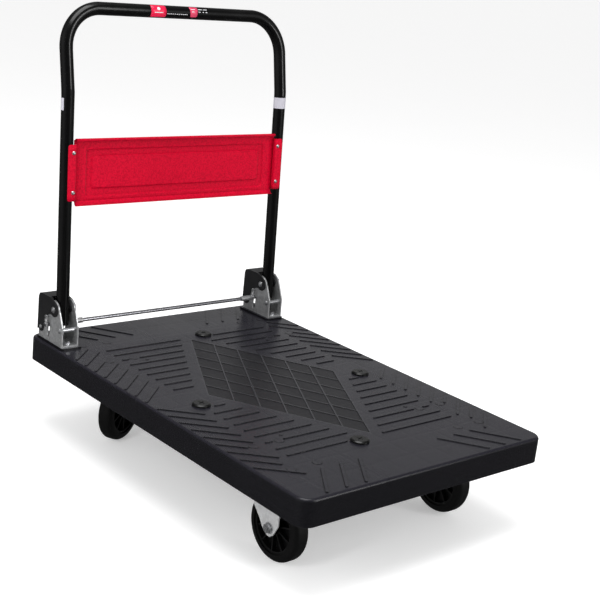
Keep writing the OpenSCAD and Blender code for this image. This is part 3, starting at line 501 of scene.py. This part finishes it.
def pressed(x, z):
    """How far back the sheet is pressed at x, z."""
    outer = smooth(0.5 - rect_distance(x, z, OUTER, OUTER_CORNER) / OUTER_STEP)
    inner = smooth(0.5 - rect_distance(x, z, INNER, INNER_CORNER) / INNER_STEP)
    crown = CROWN * smooth(-rect_distance(x, z, INNER, INNER_CORNER) / CROWN_REACH)
    return PRESS * (outer - inner * RETURN) - crown


def close_stops(lo, hi, rect_sides, coarse):
    return stops(lo, hi, rect_sides, coarse, 0.55, 2.8)


def finish_panel(obj):
    add_modifier(obj, "SOLIDIFY", thickness=SHEET * MM, offset=0.0)
    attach(obj, "handle")
    return obj


def panel_face():
    lo, hi = SHEET / 2, PANEL_H - SHEET / 2
    # points of the section from the bottom up: y, z, and 1 where the sheet is pressed
    line = [(LIP_Y, lo, 0), (LIP_Y + 2, lo + 0.1, 0)]
    # the lower edge flares forward
    for t in span(0.0, 1.0, 8):
        line.append((LIP_Y + 3 + (FLARE_Y - LIP_Y - 3) * t, lo + 0.4 + FLARE_H * smooth(t), 0))
    rows = close_stops(lo + 0.8 + FLARE_H, hi - FOLD, [*OUTER[2:], *INNER[2:]], 8)
    line += [(SHEET_Y, z, 1) for z in rows]
    # the upper edge is a lip with a hem turned down
    for k in range(1, 6):
        a = math.pi / 2 * (1 - k / 6)
        line.append((SHEET_Y - FOLD + FOLD * math.sin(a), hi - FOLD + FOLD * math.cos(a), 0))
    line += [(SHEET_Y - FOLD, hi, 0), (LIP_Y + HEM_R, hi, 0)]
    for a in span(0.4, math.pi / 2, 4):
        line.append((LIP_Y + HEM_R - HEM_R * math.sin(a), hi - HEM_R + HEM_R * math.cos(a), 0))
    line.append((LIP_Y, hi - HEM, 0))
    columns = close_stops(-PANEL_HALF + 0.3, PANEL_HALF - 0.3, [*OUTER[:2], *INNER[:2]], 14)
    verts = []
    for y, z, on_sheet in line:
        for x in columns:
            reach = 1 - EDGE_PULL * (1 - on_sheet)
            back = pressed(x, z) if on_sheet else 0.0
            verts.append(LOWER @ (Vector((x * reach, y + back, PANEL_BASE + z)) * MM))
    return finish_panel(new_piece("panel_face", verts, grid_faces(len(line), len(columns)), panel_mat))


def panel_ear(name, side):
    """The tab that laps over the front of one post; side is -1 or 1."""
    lap_y, r = -TUBE_R - SHEET / 2, EAR_FOLD
    x0, corner_x = PANEL_HALF - SHEET / 2, EAR_EDGE - EAR_CORNER
    line = [(x0, SHEET_Y), (x0, SHEET_Y - 3), (x0, lap_y + r)]
    line += [(x0 + r - r * math.cos(a), lap_y + r - r * math.sin(a)) for a in span(0.25, math.pi / 2, 6)]
    line += [(x, lap_y) for x in span(x0 + r + 2, corner_x, 4)]
    line += [(corner_x + EAR_CORNER * math.sin(a), lap_y) for a in span(0.2, math.pi / 2, 8)]
    verts, rows = [], 14
    for x, y in line:
        over = max(0.0, x - corner_x)
        inset = EAR_CORNER - math.sqrt(max(EAR_CORNER ** 2 - over * over, 0.0))
        for z in span(EAR_INSET + inset, PANEL_H - EAR_INSET - inset, rows):
            verts.append(LOWER @ (Vector((side * x, y, PANEL_BASE + z)) * MM))
    return finish_panel(new_piece(name, verts, grid_faces(len(line), rows), panel_mat))


face = panel_face()
face.visible_glossy = False
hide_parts("back_panel")
panel_ear("panel_ear_left", -1)
panel_ear("panel_ear_right", 1)

# ---------------------------------------------------------------- return springs

ROD = Vector((0.0, 0.387, 0.237))
ANCHOR_Z = 0.2555
COIL_R, WIRE_R = 2.8 * MM, 0.5 * MM
# the loops hang a little slack on the rod and on the anchor pin
SLACK = 0.8 * MM
LOW_LOOP_R, TOP_LOOP_R = 5.4 * MM, 3.4 * MM
TURNS, STEPS = 6, 14
BRACKET_X, SPRING_OFF = 0.271, 25.4 * MM


def coil_spring(name, x):
    """An extension spring with a loop round the rod and a loop round its anchor pin."""
    low_r, top_r = LOW_LOOP_R, TOP_LOOP_R
    low, top = ROD.z + SLACK, ANCHOR_Z - SLACK
    z0, z1, last = low + low_r + 0.5 * MM, top - top_r - 0.5 * MM, TURNS * STEPS
    at = Vector((x, ROD.y, 0))
    path = [at + Vector((0, low_r * math.sin(a), low + low_r * math.cos(a))) for a in span(-5.4, -0.3, 26)]
    for i in range(last + 1):
        a = 2 * math.pi * i / STEPS + math.pi / 2
        ease = min(1.0, 0.25 + i / 8, 0.25 + (last - i) / 8)
        r = COIL_R * ease
        path.append(at + Vector((r * math.cos(a), r * math.sin(a), z0 + (z1 - z0) * i / last)))
    path += [at + Vector((0, -top_r * math.sin(a), top - top_r * math.cos(a))) for a in span(0.4, 5.4, 20)]
    obj = sweep(name, path, WIRE_R, 8, spring_mat)
    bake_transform(obj)
    return obj


left_out = coil_spring("spring_left_out", -(BRACKET_X + SPRING_OFF))
coil_spring("spring_left_in", -(BRACKET_X - SPRING_OFF))
coil_spring("spring_right_in", BRACKET_X - SPRING_OFF)
coil_spring("spring_right_out", BRACKET_X + SPRING_OFF)
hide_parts("return_springs")

# ---------------------------------------------------------------- printed film on the grip

# thickness of the film, and its height over the paint below and above the red patch, in mm
FILM = 0.1
LOW_LIFT, TOP_LIFT = 0.16, 0.28


def film_patch(name, x0, x1, a0, a1, mat, lift=LOW_LIFT, corner=0.0, slant=0.0):
    """A patch on the grip bar from x0 to x1 in mm, and from angle a0 to a1 above the front in degrees.

    Its ends have corners of the given radius, or lean by slant.
    """
    r = TUBE_R + lift
    high = math.radians(a1 - a0) * r
    rows = max(16 if corner else 3, int((a1 - a0) / 8) + 2)
    verts = []
    for t in span(0.0, 1.0, rows):
        h = t * high
        edge = min(h, high - h)
        inset = corner - math.sqrt(max(corner ** 2 - max(corner - edge, 0.0) ** 2, 0.0))
        a = math.radians(a0) + h / r
        for x in span(x0 + inset + slant * (1 - t), x1 - inset + slant * t, 6):
            verts.append(UPPER @ (Vector((x, -r * math.cos(a), GRIP_UP + r * math.sin(a))) * MM))
    obj = new_piece(name, verts, grid_faces(rows, 6), mat)
    add_modifier(obj, "SOLIDIFY", thickness=FILM * MM, offset=0.0)
    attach(obj, "handle")
    return obj


red_patch = film_patch("label_red", -77, -40, -62, 62, label_red, corner=3.0)
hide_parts("grip_label")
film_patch("label_pink", 19, 38, -44, 58, label_pink, corner=1.5, slant=2.5)
film_patch("label_dot", -62.5, -54.5, 6, 34, label_white, lift=TOP_LIFT, corner=3.1)
# plain bars where the real label has lettering: left end, right end, lower angle
BARS = [(-69, -48, -18), (23, 33, 24), (25, 31, 2), (41, 51, 26),
        (54, 64, 26), (42, 46, 2), (52, 55, 2), (60, 64, 2)]
BAR_DEGREES = 7
DASHES, DASH_PITCH, DASH_START, DASH_END = 11, 4.8, -37.5, -34.3
for i, (x0, x1, a) in enumerate(BARS):
    film_patch(f"label_line_{i}", x0, x1, a, a + BAR_DEGREES, label_white, lift=TOP_LIFT)
for i in range(DASHES):
    along = i * DASH_PITCH
    film_patch(f"label_dash_{i}", DASH_START + along, DASH_END + along, -25, -19, label_white)

# ---------------------------------------------------------------- floor and lights

FLOOR_HALF = 400
corners = [(x * FLOOR_HALF, y * FLOOR_HALF, 0) for x, y in ((-1, -1), (1, -1), (1, 1), (-1, 1))]
floor_mesh = bpy.data.meshes.new("floor")
floor_mesh.from_pydata(corners, [], [(0, 1, 2, 3)])
floor = bpy.data.objects.new("floor", floor_mesh)
scene.collection.objects.link(floor)
floor_m = Mat("floor", Roughness=0.9, IOR=1.3, Emission_Color=rgb(1, 1, 1), Emission_Strength=0.36)
fl = floor_m.noise(3.0, 4.0, 0.6)
paint(floor, floor_m.set(Base_Color=floor_m.mix(fl, rgb(0.86, 0.86, 0.86), rgb(0.88, 0.88, 0.88))))
floor.visible_glossy = False

world = bpy.data.worlds.new("world")
scene.world = world
world.use_nodes = True
wt = world.node_tree
back = wt.nodes["Background"]


def world_node(kind, inputs, **props):
    n = wt.nodes.new(kind)
    for key, value in props.items():
        setattr(n, key, value)
    for i, value in enumerate(inputs):
        if isinstance(value, bpy.types.NodeSocket):
            wt.links.new(value, n.inputs[i])
        else:
            n.inputs[i].default_value = value
    return n


def lobe(direction, sharp, gain):
    """A soft bright area of the studio walls, seen in reflections only."""
    toward = Vector(direction).normalized()
    dot = world_node("ShaderNodeVectorMath", (sky_dir, toward), operation="DOT_PRODUCT")
    near = world_node("ShaderNodeMath", (dot.outputs["Value"], 0.0), operation="MAXIMUM")
    power = world_node("ShaderNodeMath", (near.outputs[0], sharp), operation="POWER")
    return world_node("ShaderNodeMath", (power.outputs[0], gain), operation="MULTIPLY").outputs[0]


sky_dir = world_node("ShaderNodeTexCoord", ()).outputs["Generated"]
# what reflections see: a dim room with four bright areas, behind, left, in front and above
LOBES = [((0.66, 0.75, 0.10), 10.0, 0.44), ((-0.95, 0.1, 0.25), 6.0, 0.5),
         ((0.55, -0.8, 0.2), 14.0, 0.5), ((0.0, 0.0, 1.0), 10.0, 0.9)]
FILL, FILL_TO_WHITE = 0.66, 0.34
seen = 0.10
for direction, sharp, gain in LOBES:
    seen = world_node("ShaderNodeMath", (lobe(direction, sharp, gain), seen), operation="ADD").outputs[0]
rays = wt.nodes.new("ShaderNodeLightPath").outputs
plain = (rays["Is Camera Ray"], FILL_TO_WHITE, FILL)
plain = world_node("ShaderNodeMath", plain, operation="MULTIPLY_ADD").outputs[0]
level = world_node("ShaderNodeMix", (rays["Is Glossy Ray"],), data_type="FLOAT")
wt.links.new(plain, level.inputs[2])
wt.links.new(seen, level.inputs[3])
wt.links.new(level.outputs[0], back.inputs["Strength"])
back.inputs["Color"].default_value = rgb(1.0, 1.0, 1.0)


def area(name, at, target, size, power, size_y=None):
    light = bpy.data.lights.new(name, "AREA")
    light.shape = "RECTANGLE"
    light.size, light.size_y = size, size_y or size
    light.energy = power
    obj = bpy.data.objects.new(name, light)
    obj.location = at
    obj.rotation_euler = (Vector(target) - Vector(at)).to_track_quat("-Z", "Y").to_euler()
    obj.visible_camera = False
    scene.collection.objects.link(obj)
    return obj


area("top_box", (-0.5, -0.2, 3.2), (0, 0, 0.2), 2.0, 62)
left = area("left_strip", (-2.6, -0.6, 1.4), (0, 0.2, 0.6), 0.35, 28, size_y=1.8)
left.visible_glossy = False
area("right_strip", (1.5, -2.8, 1.5), (0, 0.0, 0.5), 0.5, 30, size_y=1.8)

scene.view_settings.view_transform = "Standard"
scene.view_settings.look = "None"
